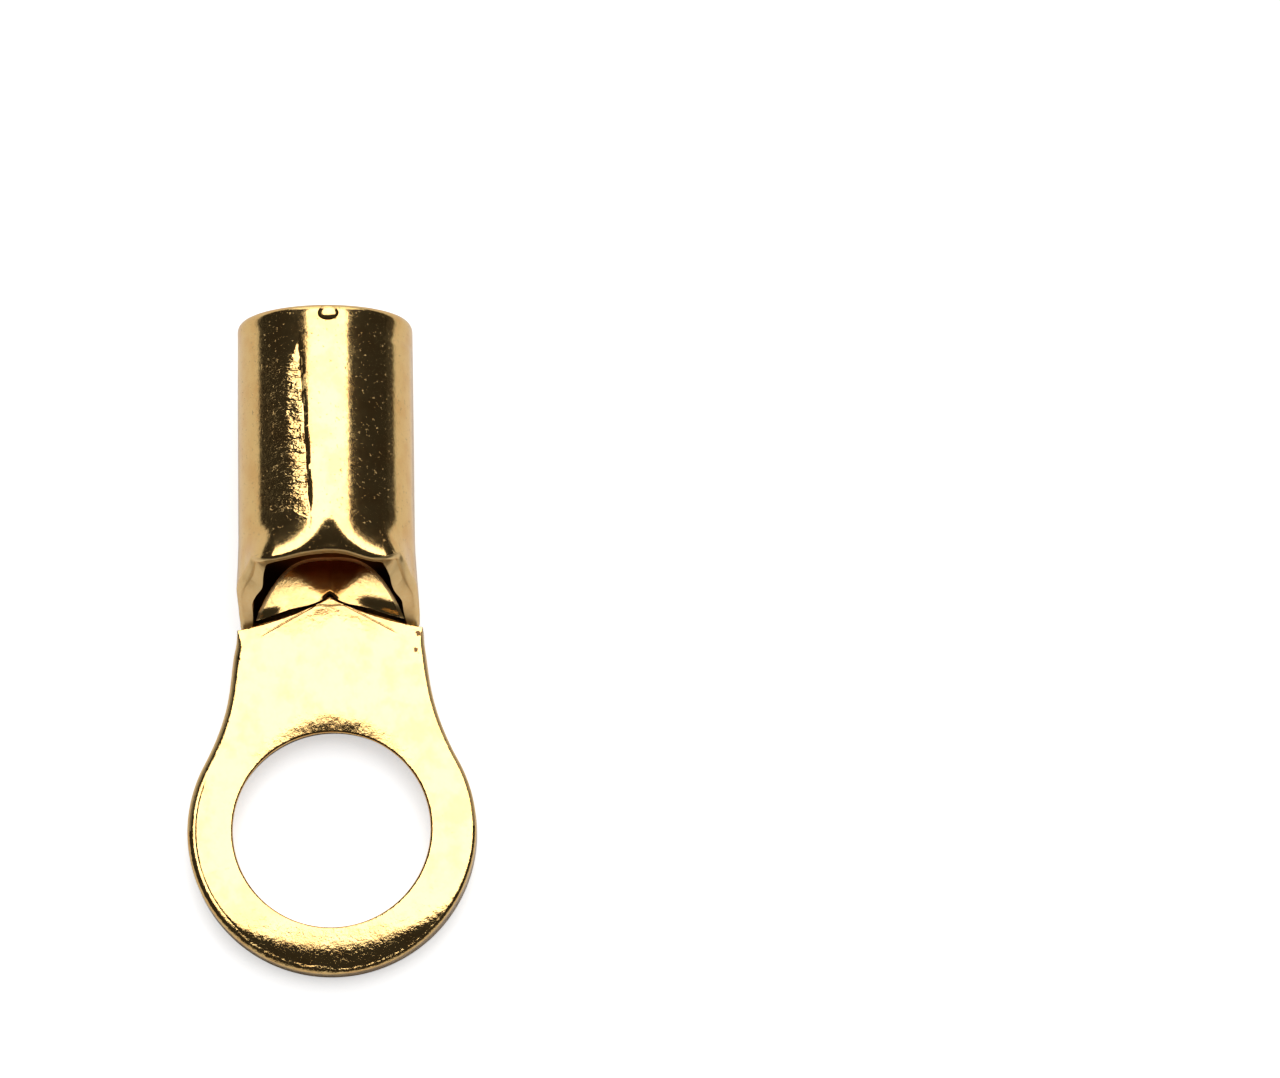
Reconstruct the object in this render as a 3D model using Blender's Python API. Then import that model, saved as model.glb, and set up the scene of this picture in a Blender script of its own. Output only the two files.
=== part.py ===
"""Ring terminal for an M8 stud: a rolled tube whose end is pressed flat into a ring.

Frame: metres, +Z up. The terminal lies on its back with the ring's underside on
the plane z = 0, its length along Y, the wire end of the barrel toward +Y and the
ring toward -Y. The origin is the middle of the bounding box on that plane.
"""

import bpy
import bmesh
from math import atan2, cos, exp, pi, radians, sin, sqrt

MM = 0.001

# ring and tongue
RING_OUTER_RADIUS = 6.15 * MM
STUD_HOLE_RADIUS = 4.20 * MM
STUD_HOLE_FLARE = 0.20 * MM
TONGUE_THICKNESS = 1.60 * MM
TONGUE_EDGE = 0.22 * MM
FACE_ROLL_WIDTH = 0.50 * MM
FACE_ROLL_DROP = 0.02 * MM
FOOT_ROLL_WIDTH = 1.55 * MM
FOOT_ROLL_DROP = 0.45 * MM
UNDERSIDE_EDGE = 0.18 * MM
HOLE_EDGE = 0.20 * MM
TONGUE_HALF_WIDTH = 3.97 * MM
PEAK_EDGE_WIDTH = 0.26 * MM
PEAK_EDGE_DROP = 0.12 * MM

# barrel
BARREL_RADIUS = 3.75 * MM
WALL = 0.80 * MM
BARREL_LIFT = 0.04 * MM
WIRE_END_EDGE = 0.35 * MM
BORE_EDGE = 0.15 * MM
NECK_HALF_WIDTH = 3.88 * MM
NECK_WALL = 0.55 * MM
FLOOR_SQUARENESS = 4.5
FRONT_SQUARENESS = 2.2

# distances along the part, measured from the centre of the ring
NECK_START = 8.62 * MM
TONGUE_CORNER = 8.68 * MM
TONGUE_PEAK = 10.09 * MM
SHOULDER_START = 8.76 * MM
LIP = 10.64 * MM
ROUND_AGAIN = 12.30 * MM
WIRE_END = 21.50 * MM

# the press mark on the front wall behind the lip
DENT_DEPTH = 0.62 * MM
DENT_LENGTH = 1.70 * MM
DENT_HALF_WIDTH = 1.20 * MM
SQUARED_LENGTH = 1.55 * MM
LIP_RECESS = 0.26 * MM
LIP_FALL = 0.08 * MM

# heights between which the cut edge of each side wall climbs, and how it leans
SHOULDER_FOOT = 1.36 * MM
SHOULDER_TOP = BARREL_LIFT + 1.816 * BARREL_RADIUS
SHOULDER_LEAN = 1.20 * MM
RIM_BEVEL = 0.20 * MM

# the pressed spoon that closes the front of the bore
SPOON_TOP = 1.86 * MM
SPOON_END = 11.90 * MM
SPOON_HALF_WIDTH = 0.83 * NECK_HALF_WIDTH
SPOON_BED = 0.40 * MM
SPOON_FOOT_GAP = 0.14 * MM
SPOON_OVERLAP = 0.06 * MM
SPOON_LOBE_FALL = 0.10 * MM
SPOON_CORNER_FALL = 0.45 * MM
SPOON_RIM_WIDTH = 0.24 * MM
SPOON_RIM_FALL = 0.16 * MM
SPOON_FRONT_WIDTH = 0.20 * MM
SPOON_FRONT_FALL = 0.24 * MM

# seam
SEAM_TAB_HALF_WIDTH = 0.42 * MM
SEAM_TAB_LENGTH = 0.35 * MM
SEAM_TAB_HEIGHT = 0.10 * MM
SEAM_BEAD_HALF_WIDTH = 0.44 * MM
SEAM_BEAD_HALF_LENGTH = 0.27 * MM
SEAM_BEAD_HEIGHT = 0.15 * MM

# facets
AROUND = 84
RING_STEPS = 44
FLANK_STEPS = 9
PEAK_STEPS = 14

RING_CENTRE_Y = -(WIRE_END - RING_OUTER_RADIUS) / 2.0


def remove_everything():
    for item in list(bpy.data.objects):
        bpy.data.objects.remove(item, do_unlink=True)


def body_from(name, bm):
    """A new object that holds the finished body."""
    mesh = bpy.data.meshes.new(name)
    bmesh.ops.recalc_face_normals(bm, faces=bm.faces)
    bm.to_mesh(mesh)
    bm.free()
    part = bpy.data.objects.new(name, mesh)
    bpy.context.collection.objects.link(part)
    return part


def rows_of_points(bm, rows):
    return [[bm.verts.new((x, y + RING_CENTRE_Y, z)) for x, y, z in row] for row in rows]


def solid_from_rings(name, rings):
    """One closed body from rings of points, with a cap at each end."""
    bm = bmesh.new()
    loops = rows_of_points(bm, rings)
    count = len(loops[0])
    for lower, upper in zip(loops, loops[1:]):
        for i in range(count):
            j = (i + 1) % count
            bm.faces.new((lower[i], lower[j], upper[j], upper[i]))
    bm.faces.new(loops[0])
    bm.faces.new(loops[-1])
    return body_from(name, bm)


def shell_from_columns(name, columns):
    """One closed shell whose skin runs through closed columns of points, round and round."""
    bm = bmesh.new()
    loops = rows_of_points(bm, columns)
    tall = len(loops[0])
    for i in range(len(loops)):
        left = loops[i]
        right = loops[(i + 1) % len(loops)]
        for k in range(tall):
            m = (k + 1) % tall
            bm.faces.new((left[k], right[k], right[m], left[m]))
    return body_from(name, bm)


def ease(value):
    value = min(1.0, max(0.0, value))
    return value * value * (3.0 - 2.0 * value)


# tube

def boxiness(y):
    """1 where the press has squared up the neck, 0 where the tube is round."""
    return 1.0 - ease((y - NECK_START) / (ROUND_AGAIN - NECK_START))


def front_boxiness(y):
    """The front wall is squared up too, but less and only near the lip."""
    reach = 1.0 - (y - LIP) / SQUARED_LENGTH
    return min(1.0, max(0.0, reach)) ** 2


def lip_line(x):
    recess = LIP_RECESS * exp(-((x / (1.15 * MM)) ** 2))
    return LIP + recess - LIP_FALL * ease((abs(x) / BARREL_RADIUS - 0.4) / 0.4)


def press_depth(x, y):
    """How far the front wall has been pushed down behind the lip."""
    reach = min(1.2, max(0.0, 1.0 - (y - LIP) / DENT_LENGTH))
    half_width = DENT_HALF_WIDTH * (0.25 + 0.75 * reach ** 1.6)
    mark = DENT_DEPTH * reach ** 1.6 * exp(-((x / half_width) ** 2))
    tab_reach = ease(1.0 - (y - lip_line(0.0)) / SEAM_TAB_LENGTH)
    tab = SEAM_TAB_HEIGHT * tab_reach * ease(2.0 - 2.0 * abs(x) / SEAM_TAB_HALF_WIDTH)
    return mark - tab


def tube_point(angle, y, skin):
    """Point of the tube's section: skin 0 is outside, 1 is the bore."""
    box = boxiness(y)
    inset = skin * (WALL + (NECK_WALL - WALL) * ease(1.6 * box))
    half_width = BARREL_RADIUS + (NECK_HALF_WIDTH - BARREL_RADIUS) * box - inset
    axis = BARREL_LIFT + BARREL_RADIUS
    drop = BARREL_RADIUS - inset
    c = cos(angle)
    s = sin(angle)
    if s < 0.0:
        power = 2.0 / (2.0 + FLOOR_SQUARENESS * box)
    else:
        power = 2.0 / (2.0 + FRONT_SQUARENESS * front_boxiness(y))
    x = half_width * abs(c) ** power * (1.0 if c > 0.0 else -1.0)
    if s < 0.0:
        return x, axis - drop * abs(s) ** power
    return x, axis + drop * s ** power - press_depth(x, y) * ease(2.0 * s - 0.5)


def shoulder_line(z):
    """Distance along the part of the side walls' cut edge at this height."""
    rise = (z - SHOULDER_FOOT) / (SHOULDER_TOP - SHOULDER_FOOT)
    if rise <= 0.0:
        return NECK_START
    climb = LIP - SHOULDER_START - SHOULDER_LEAN
    return SHOULDER_START + SHOULDER_LEAN * rise + climb * min(1.0, rise) ** 7


def cut_edge(angle, skin):
    """Distance along the part at which the tube starts, at this angle round it."""
    y = LIP
    for _ in range(24):
        x, z = tube_point(angle, y, skin)
        side = 1.0
        if sin(angle) > 0.0:
            side = ease((abs(x) / BARREL_RADIUS - 0.50) / 0.22)
        lip = lip_line(x)
        target = lip + (min(shoulder_line(z), lip) - lip) * side
        if skin == 0.0:
            # the rim of each side wall is turned a little outwards
            turned = ease((abs(cos(angle)) - 0.60) / 0.30)
            target += RIM_BEVEL * turned * ease((z - SHOULDER_FOOT) / (1.0 * MM))
        y = 0.5 * (y + target)
    return y


def make_tube():
    """The wall as one shell: each column runs outside, round the wire end and back inside."""
    shaped_to = ROUND_AGAIN + 0.15 * MM
    columns = []
    for i in range(AROUND):
        angle = 2.0 * pi * (i + 0.5) / AROUND
        column = []

        def add(y, skin, extra=0.0):
            x, z = tube_point(angle, y, skin)
            if extra:
                share = 1.0 - extra / BARREL_RADIUS
                axis = BARREL_LIFT + BARREL_RADIUS
                x = x * share
                z = axis + (z - axis) * share
            column.append((x, y, z))

        start = cut_edge(angle, 0.0)
        for k in range(10):
            add(start + (shaped_to - start) * k / 9.0, 0.0)
        for k in range(5):
            turn = pi / 2.0 * k / 4.0
            y = WIRE_END - WIRE_END_EDGE * (1.0 - sin(turn))
            add(y, 0.0, WIRE_END_EDGE * (1.0 - cos(turn)))
        add(WIRE_END, (WALL - BORE_EDGE) / WALL)
        add(WIRE_END - BORE_EDGE, 1.0)
        start = cut_edge(angle, 1.0)
        for k in range(9, -1, -1):
            add(start + (shaped_to - start) * k / 9.0, 1.0)
        columns.append(column)
    return shell_from_columns("ring_terminal", columns)


# tongue and ring

def peak_line(x):
    """Distance along the part of the tongue's upper edge, a shallow peak."""
    u = 1.0 - min(1.0, abs(x) / TONGUE_HALF_WIDTH)
    return TONGUE_CORNER + (TONGUE_PEAK - TONGUE_CORNER) * (0.7 * u + 0.3 * u ** 3)


def right_outline():
    """Right half of the tongue from the foot of the ring up to the peak."""
    # each flank is one hollow arc that leaves the ring smoothly and ends at the corner
    side = TONGUE_HALF_WIDTH
    rest = side ** 2 + TONGUE_CORNER ** 2 - RING_OUTER_RADIUS ** 2
    flank_radius = rest / (2.0 * (RING_OUTER_RADIUS - side))
    arc_x = side + flank_radius
    share = RING_OUTER_RADIUS / (RING_OUTER_RADIUS + flank_radius)
    join_y = TONGUE_CORNER * share
    end_angle = atan2(join_y, arc_x * share)
    points = []
    for k in range(RING_STEPS + 1):
        angle = -pi / 2.0 + (end_angle + pi / 2.0) * k / RING_STEPS
        points.append((RING_OUTER_RADIUS * cos(angle), RING_OUTER_RADIUS * sin(angle)))
    for k in range(1, FLANK_STEPS + 1):
        y = join_y + (TONGUE_CORNER - join_y) * k / FLANK_STEPS
        x = arc_x - sqrt(flank_radius ** 2 - (TONGUE_CORNER - y) ** 2)
        points.append((x, y))
    for k in range(1, PEAK_STEPS + 1):
        x = side * (1.0 - k / PEAK_STEPS)
        points.append((x, peak_line(x)))
    return points


def tongue_outline():
    right = right_outline()
    left = [(-x, y) for x, y in reversed(right[1:-1])]
    return right + left


def inward_normals(outline):
    normals = []
    count = len(outline)
    for i in range(count):
        x0, y0 = outline[i - 1]
        x1, y1 = outline[(i + 1) % count]
        dx = x1 - x0
        dy = y1 - y0
        size = sqrt(dx * dx + dy * dy)
        normals.append((-dy / size, dx / size))
    return normals


def make_tongue():
    outline = tongue_outline()
    normals = inward_normals(outline)

    def layer_point(x, y, nx, ny, step):
        foot = ease((-y / RING_OUTER_RADIUS - 0.42) / 0.42)
        edge = TONGUE_EDGE
        width = FACE_ROLL_WIDTH + (FOOT_ROLL_WIDTH - FACE_ROLL_WIDTH) * foot
        drop = FACE_ROLL_DROP + (FOOT_ROLL_DROP - FACE_ROLL_DROP) * foot
        height = edge
        if y > TONGUE_CORNER - 0.001 * MM:
            edge = PEAK_EDGE_WIDTH
            height = PEAK_EDGE_DROP
            drop = 0.0
        if step <= 4:
            turn = pi / 2.0 * step / 4.0
            inset = edge * (1.0 - cos(turn))
            z = TONGUE_THICKNESS - drop - height * (1.0 - sin(turn))
        else:
            share = (step - 4) / 5.0
            inset = edge + (width - edge) * share
            z = TONGUE_THICKNESS - drop * (1.0 - share) ** 2
        return x + nx * inset, y + ny * inset, z

    rings = []
    for k in (2, 1, 0):
        turn = pi / 2.0 * k / 2.0
        inset = UNDERSIDE_EDGE * (1.0 - cos(turn))
        z = UNDERSIDE_EDGE * (1.0 - sin(turn))
        rings.append([
            (x + nx * inset, y + ny * inset, z) for (x, y), (nx, ny) in zip(outline, normals)])
    for step in range(10):
        rings.append([
            layer_point(x, y, nx, ny, step) for (x, y), (nx, ny) in zip(outline, normals)])
    return solid_from_rings("add_tongue", rings)


def make_stud_hole():
    """The hole as a punch leaves it: rounded at the face, a little wider at the underside."""
    profile = [
        (-0.5 * MM, STUD_HOLE_RADIUS + STUD_HOLE_FLARE),
        (0.0, STUD_HOLE_RADIUS + STUD_HOLE_FLARE),
    ]
    for k in range(5):
        turn = pi / 2.0 * k / 4.0
        z = TONGUE_THICKNESS - HOLE_EDGE * (1.0 - sin(turn))
        profile.append((z, STUD_HOLE_RADIUS + HOLE_EDGE * (1.0 - cos(turn))))
    profile.append((TONGUE_THICKNESS + 0.5 * MM, STUD_HOLE_RADIUS + HOLE_EDGE))
    rings = []
    for z, r in profile:
        ring = []
        for i in range(AROUND):
            angle = 2.0 * pi * i / AROUND
            ring.append((r * cos(angle), r * sin(angle), z))
        rings.append(ring)
    return solid_from_rings("cut_stud_hole", rings)


# spoon

def spoon_back(x):
    """Distance along the part of the spoon's rounded end."""
    u = abs(x) / SPOON_HALF_WIDTH
    foot = peak_line(SPOON_HALF_WIDTH) + SPOON_FOOT_GAP
    return foot + (SPOON_END - foot) * (1.0 - u ** 2.4)


def spoon_height(x, gap, edge):
    """Top of the spoon: two low lobes, a level valley between them, edges rolled down."""
    lobe = ease((abs(x) - 0.15 * MM) / (0.8 * MM))
    fall = SPOON_LOBE_FALL * lobe * (1.0 - ease(gap / (1.2 * MM)))
    corner = ease((abs(x) - 1.6 * MM) / (1.1 * MM))
    fall += SPOON_CORNER_FALL * corner * exp(-((gap / (0.42 * MM)) ** 2))
    fall += SPOON_RIM_FALL * max(0.0, 1.0 - edge / SPOON_RIM_WIDTH) ** 2
    fall += SPOON_FRONT_FALL * max(0.0, 1.0 - gap / SPOON_FRONT_WIDTH) ** 2
    return SPOON_TOP - fall


def make_spoon():
    rings = []
    stations = 30
    for i in range(stations + 1):
        x = SPOON_HALF_WIDTH * 0.985 * sin(pi / 2.0 * (2.0 * i / stations - 1.0))
        back = spoon_back(x)
        front = peak_line(x) - SPOON_OVERLAP
        length = back - front
        # lie of the rounded end here, to turn a step along Y into one square to the rim
        step_x = 0.01 * MM
        slope = (spoon_back(abs(x) + step_x) - back) / step_x
        square = 1.0 / sqrt(1.0 + slope * slope)
        near = min(SPOON_FRONT_WIDTH + SPOON_OVERLAP, 0.35 * length)
        far = min(SPOON_RIM_WIDTH / square, 0.35 * length)
        runs = [0.0, 0.35 * near, 0.7 * near, near]
        runs += [near + (length - near - far) * k / 5.0 for k in range(1, 5)]
        runs += [length - far, length - 0.6 * far, length - 0.25 * far, length]
        section = [(x, back, SPOON_BED), (x, front, SPOON_BED)]
        for run in runs:
            gap = max(0.0, run - SPOON_OVERLAP)
            section.append((x, front + run, spoon_height(x, gap, (length - run) * square)))
        rings.append(section)
    return solid_from_rings("add_spoon", rings)


# bead at the wire end of the seam

def make_seam_bead():
    top = BARREL_LIFT + 2.0 * BARREL_RADIUS
    centre_y = WIRE_END - 0.42 * MM
    rings = []
    for level in (-0.6, 0.0, 0.35, 0.65, 0.88):
        size = 1.0 if level <= 0.0 else sqrt(1.0 - level * level)
        ring = []
        for i in range(20):
            angle = 2.0 * pi * i / 20
            x = SEAM_BEAD_HALF_WIDTH * size * cos(angle)
            y = centre_y + SEAM_BEAD_HALF_LENGTH * size * sin(angle)
            ring.append((x, y, top - 0.04 * MM + (SEAM_BEAD_HEIGHT + 0.04 * MM) * level))
        rings.append(ring)
    return solid_from_rings("add_seam_bead", rings)


def combine(body, tool, operation):
    step = body.modifiers.new(tool.name, "BOOLEAN")
    step.operation = operation
    step.solver = "EXACT"
    step.object = tool
    tool.hide_render = True
    tool.display_type = "WIRE"


def gold_plate():
    material = bpy.data.materials.new("gold_plated_brass")
    material.use_nodes = True
    shader = material.node_tree.nodes["Principled BSDF"]
    shader.inputs["Base Color"].default_value = (0.92, 0.66, 0.27, 1.0)
    shader.inputs["Metallic"].default_value = 1.0
    shader.inputs["Roughness"].default_value = 0.16
    material.diffuse_color = (0.92, 0.66, 0.27, 1.0)
    return material


def main():
    remove_everything()
    body = make_tube()
    combine(body, make_tongue(), "UNION")
    combine(body, make_spoon(), "UNION")
    combine(body, make_stud_hole(), "DIFFERENCE")
    combine(body, make_seam_bead(), "UNION")
    body.data.materials.append(gold_plate())
    for polygon in body.data.polygons:
        polygon.use_smooth = True
    body.data.set_sharp_from_angle(angle=radians(32.0))


main()
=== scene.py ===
"""Ring terminal: a rolled gold-plated barrel pressed flat into a ring tongue, on a pale table.

Lengths inside the helpers are in metres. The terminal lies along Y with its ring toward -Y, and
every distance "along" the part is measured from the middle of the ring.
"""

from math import atan2, cos, degrees, exp, log, pi, radians, sin, sqrt

import bmesh
import bpy
from bpy.props import FloatProperty, FloatVectorProperty, PointerProperty
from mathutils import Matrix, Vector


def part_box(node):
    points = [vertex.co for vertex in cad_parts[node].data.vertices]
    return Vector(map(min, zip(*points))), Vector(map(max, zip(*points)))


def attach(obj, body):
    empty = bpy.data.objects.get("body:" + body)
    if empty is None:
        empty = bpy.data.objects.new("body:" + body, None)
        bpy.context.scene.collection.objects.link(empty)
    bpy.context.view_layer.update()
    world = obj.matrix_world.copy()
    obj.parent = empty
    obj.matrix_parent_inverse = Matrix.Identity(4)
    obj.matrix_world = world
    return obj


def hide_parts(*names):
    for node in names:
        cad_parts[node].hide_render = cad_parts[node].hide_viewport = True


bl_info = {
    "name": "Ring terminal",
    "version": (1, 0, 0),
    "blender": (4, 5, 0),
    "location": "3D View > Sidebar > Terminal",
    "description": "Builds a gold-plated ring terminal and the table it is shown on",
    "category": "Add Mesh",
}

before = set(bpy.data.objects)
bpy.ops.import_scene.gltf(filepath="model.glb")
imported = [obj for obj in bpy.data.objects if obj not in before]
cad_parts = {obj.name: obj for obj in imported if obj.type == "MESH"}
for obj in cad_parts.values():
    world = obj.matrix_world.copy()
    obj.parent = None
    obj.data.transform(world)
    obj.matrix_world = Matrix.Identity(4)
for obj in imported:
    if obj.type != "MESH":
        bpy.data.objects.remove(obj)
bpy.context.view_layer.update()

NODE = "ring_terminal"
LOW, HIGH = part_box(NODE)
MM = 0.001
RING_RADIUS = (HIGH.x - LOW.x) / 2.0
RING_CENTRE_Y = LOW.y + RING_RADIUS
CREASE_ANGLE = radians(35.0)


# sizes and colours that a user would change

class TerminalSizes(bpy.types.PropertyGroup):
    ring_radius: FloatProperty(
        name="Ring radius", description="Outer radius of the ring",
        default=RING_RADIUS, unit="LENGTH", precision=5)
    hole_radius: FloatProperty(
        name="Stud hole radius", description="Radius of the hole that the stud passes",
        default=4.20 * MM, unit="LENGTH", precision=5)
    tongue_thickness: FloatProperty(
        name="Tongue thickness", description="Thickness of the flat tongue",
        default=1.60 * MM, unit="LENGTH", precision=5)
    tongue_half_width: FloatProperty(
        name="Tongue half width", description="Half the tongue's width at its corners",
        default=3.97 * MM, unit="LENGTH", precision=5)
    corner: FloatProperty(
        name="Tongue corner", description="How far along the part the tongue's corners are",
        default=8.68 * MM, unit="LENGTH", precision=5)
    peak: FloatProperty(
        name="Tongue peak", description="How far along the part the peak of the tongue's edge is",
        default=10.09 * MM, unit="LENGTH", precision=5)
    foot_roll_width: FloatProperty(
        name="Foot roll width", description="Width of the rolled face at the foot of the ring",
        default=1.62 * MM, unit="LENGTH", precision=5)
    foot_roll_drop: FloatProperty(
        name="Foot roll drop", description="How far that rolled face falls to the edge",
        default=0.47 * MM, unit="LENGTH", precision=5)
    barrel_radius: FloatProperty(
        name="Barrel radius", description="Outer radius of the barrel",
        default=3.75 * MM, unit="LENGTH", precision=5)
    barrel_lift: FloatProperty(
        name="Barrel lift", description="Gap between the table and the barrel",
        default=0.04 * MM, unit="LENGTH", precision=5)
    wall: FloatProperty(
        name="Wall", description="Thickness of the barrel's wall",
        default=0.80 * MM, unit="LENGTH", precision=5)
    neck_half_width: FloatProperty(
        name="Neck half width", description="Half the width of the squared neck",
        default=3.88 * MM, unit="LENGTH", precision=5)
    neck_side_wall: FloatProperty(
        name="Neck side wall", description="Thickness of the neck's side walls",
        default=0.43 * MM, unit="LENGTH", precision=5)
    lip: FloatProperty(
        name="Lip", description="How far along the part the barrel's cut front edge is",
        default=10.64 * MM, unit="LENGTH", precision=5)
    wire_end: FloatProperty(
        name="Wire end", description="How far along the part the barrel's open end is",
        default=HIGH.y - RING_CENTRE_Y, unit="LENGTH", precision=5)
    dent_depth: FloatProperty(
        name="Press mark depth", description="Depth of the press mark behind the lip",
        default=0.62 * MM, unit="LENGTH", precision=5)
    dent_length: FloatProperty(
        name="Press mark length", description="How far the press mark runs along the barrel",
        default=1.70 * MM, unit="LENGTH", precision=5)
    spoon_top: FloatProperty(
        name="Spoon height", description="Height of the pressed metal at the foot of the bore",
        default=1.86 * MM, unit="LENGTH", precision=5)


class TerminalFinish(bpy.types.PropertyGroup):
    gold: FloatVectorProperty(
        name="Gold", description="Colour of the plating", subtype="COLOR",
        size=4, min=0.0, max=1.0, default=(0.92, 0.61, 0.24, 1.0))
    gold_deep: FloatVectorProperty(
        name="Deep gold", description="Colour of the plating where it is thin or worn",
        subtype="COLOR", size=4, min=0.0, max=1.0, default=(0.86, 0.52, 0.19, 1.0))
    roughness: FloatProperty(
        name="Roughness", description="Roughness of the polished plating",
        default=0.14, min=0.0, max=1.0, subtype="FACTOR")
    grain_depth: FloatProperty(
        name="Grain depth", description="Depth of the fine grain under the plating",
        default=0.0022 * MM, unit="LENGTH", precision=7)
    hammer_depth: FloatProperty(
        name="Hammer mark depth", description="Depth of the ripples on the barrel's left side",
        default=0.19 * MM, unit="LENGTH", precision=6)


class TerminalStage(bpy.types.PropertyGroup):
    table: FloatVectorProperty(
        name="Table colour", description="Colour of the pale table", subtype="COLOR",
        size=4, min=0.0, max=1.0, default=(0.90, 0.90, 0.90, 1.0))
    panel_strength: FloatProperty(
        name="Panel brightness", description="Brightness of the soft panel overhead",
        default=2.9, min=0.0)
    room: FloatProperty(
        name="Room brightness", description="Brightness of the unlit room in the reflections",
        default=0.03, min=0.0)
    lens: FloatProperty(
        name="Lens", description="Focal length of the camera on a 36 mm sensor, in millimetres",
        default=165.9, min=1.0)
    camera_height: FloatProperty(
        name="Camera height", description="Height of the camera over the table",
        default=248.53 * MM, unit="LENGTH")


# helpers

def sizes():
    return bpy.context.scene.terminal_sizes


def select_only(piece):
    bpy.ops.object.select_all(action="DESELECT")
    piece.select_set(True)
    bpy.context.view_layer.objects.active = piece


def ease(value):
    value = min(1.0, max(0.0, value))
    return value * value * (3.0 - 2.0 * value)


def fresh(name):
    piece = bpy.context.active_object
    piece.name = name
    piece.data.name = name
    return piece


def bridge_open_rims(piece):
    """Closes a tube by joining its two open rims."""
    select_only(piece)
    bpy.ops.object.mode_set(mode="EDIT")
    bpy.ops.mesh.select_mode(type="EDGE")
    bpy.ops.mesh.select_all(action="DESELECT")
    bpy.ops.mesh.select_non_manifold()
    bpy.ops.mesh.bridge_edge_loops()
    bpy.ops.object.mode_set(mode="OBJECT")


def point_outwards(piece):
    select_only(piece)
    bpy.ops.object.mode_set(mode="EDIT")
    bpy.ops.mesh.select_all(action="SELECT")
    bpy.ops.mesh.normals_make_consistent(inside=False)
    bpy.ops.object.mode_set(mode="OBJECT")


def finish_piece(piece, material):
    """Smooth shading, material, and the body that the piece belongs to."""
    point_outwards(piece)
    bpy.ops.object.shade_smooth_by_angle(angle=CREASE_ANGLE)
    piece.data.materials.clear()
    piece.data.materials.append(material)
    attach(piece, "root")
    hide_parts(NODE)


# shape of the barrel and neck

NECK_START = 8.62 * MM
ROUND_AGAIN = 12.30 * MM
LIP_RECESS = 0.26 * MM
LIP_RECESS_HALF_WIDTH = 1.15 * MM
LIP_FALL = 0.17 * MM
LIP_FOOT = 6.55 * MM
LIP_CURL_DEPTH = 0.05 * MM
LIP_CURL_LENGTH = 0.16 * MM
LIP_TAB_HEIGHT = 0.07 * MM
LIP_TAB_LENGTH = 0.30 * MM
SHOULDER_FOOT = 1.36 * MM
SHOULDER_LEAN = 1.20 * MM
CORNER_WALL = 0.38 * MM

# the press mark, its middle both across the part and in degrees round the barrel
MARK_X = 0.30 * MM
MARK_ANGLE = 4.6
MARK_HALF_WIDTH = 1.20 * MM
SWELL_HEIGHT = 0.45 * MM
SWELL_START = 10.62 * MM
SWELL_LENGTH = 1.75 * MM

# the bell at the wire end
BELL_HEIGHT = 0.045 * MM
BELL_START = 20.70 * MM
BELL_LENGTH = 0.40 * MM

# the long scratch: how far across it would lie level with the middle of the ring, and how far
# it drifts across for each millimetre along, both in millimetres
SCRATCH_START = 0.20
SCRATCH_DRIFT = -0.055


def boxiness(y):
    """1 where the press has squared the tube up, 0 where it is round."""
    return 1.0 - ease((y - NECK_START) / (ROUND_AGAIN - NECK_START))


def front_swell(from_mark, y):
    """How far the press moved the front wall outwards, at this many degrees from its mark."""
    reach = ease(1.0 - (y - SWELL_START) / SWELL_LENGTH)
    rise = min(1.0, max(0.0, (from_mark - 8.0) / 28.0)) ** 2
    fall = ease((from_mark - 38.0) / 32.0)
    return SWELL_HEIGHT * reach * rise * (1.0 - fall)


def press_depth(x, y):
    """How far the front wall has been pushed down behind the lip."""
    s = sizes()
    reach = min(1.2, max(0.0, 1.0 - (y - s.lip) / s.dent_length))
    half_width = MARK_HALF_WIDTH * (0.22 + 0.30 * reach + 0.40 * reach ** 4)
    across = abs(x - MARK_X)
    mark = s.dent_depth * reach ** 1.6 * exp(-(across / half_width) ** 2.0)
    from_lip = y - lip_line(x)
    curl = min(1.0, max(0.0, 1.0 - from_lip / LIP_CURL_LENGTH)) ** 2
    tab = ease(1.0 - from_lip / LIP_TAB_LENGTH) * ease(3.0 - across / (0.14 * MM))
    return mark + LIP_CURL_DEPTH * curl - LIP_TAB_HEIGHT * tab


def flattened(x, y):
    """Depth of the strip that was flattened on the left of the scratch."""
    x = x / MM
    y = y / MM
    from_scratch = x - (SCRATCH_START + SCRATCH_DRIFT * y)
    inside = from_scratch + min(0.77, 8.86 - 0.44 * y)
    share = ease(inside / 0.15) * ease((0.06 - from_scratch) / 0.14) * ease(y - 12.4)
    slope = 0.13 + 0.07 * ease(y - 17.4)
    return slope * inside * share * MM


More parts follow.
